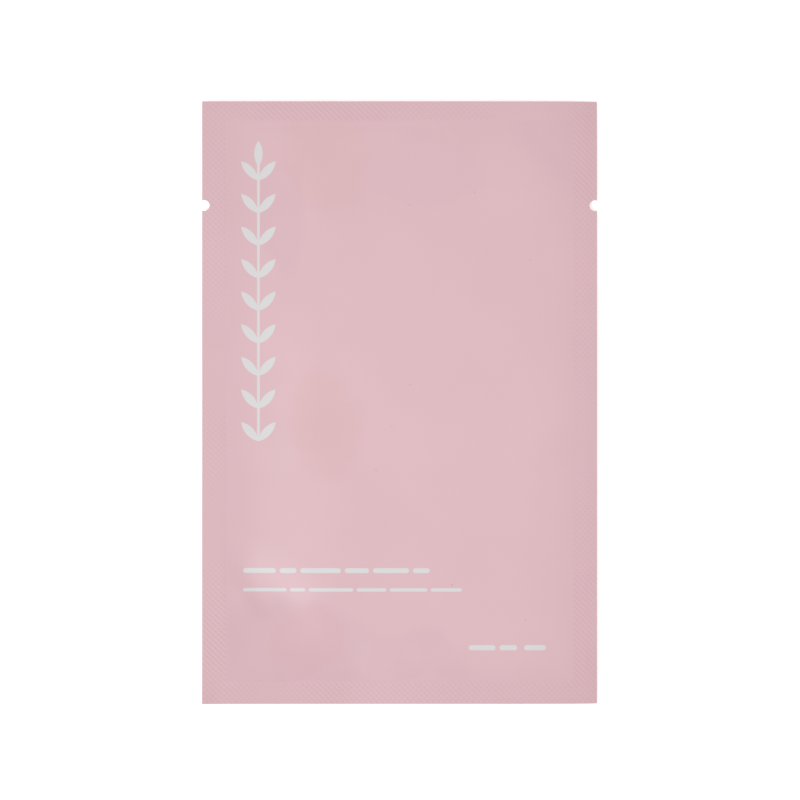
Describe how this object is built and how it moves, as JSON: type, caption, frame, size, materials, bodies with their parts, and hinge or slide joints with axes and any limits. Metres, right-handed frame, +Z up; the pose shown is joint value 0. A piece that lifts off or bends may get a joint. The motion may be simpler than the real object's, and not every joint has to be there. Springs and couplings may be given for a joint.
{
  "type": "wet wipe sachet",
  "caption": "Flat film sachet holding a folded wet wipe, welded along every edge with a knurled seal and notched at both sides to tear open, lying on its back.",
  "frame": {"origin": "on the table, under the middle of the pack's outline", "axes": "+Z up, out of the printed front; +Y along the pack towards its notched end; +X to the right as the front is read"},
  "size_m": [0.08, 0.122, 0.002],
  "materials": {
    "film": "matte"
  },
  "bodies": {
    "root": {"sachet": "film"}
  },
  "joints": []
}
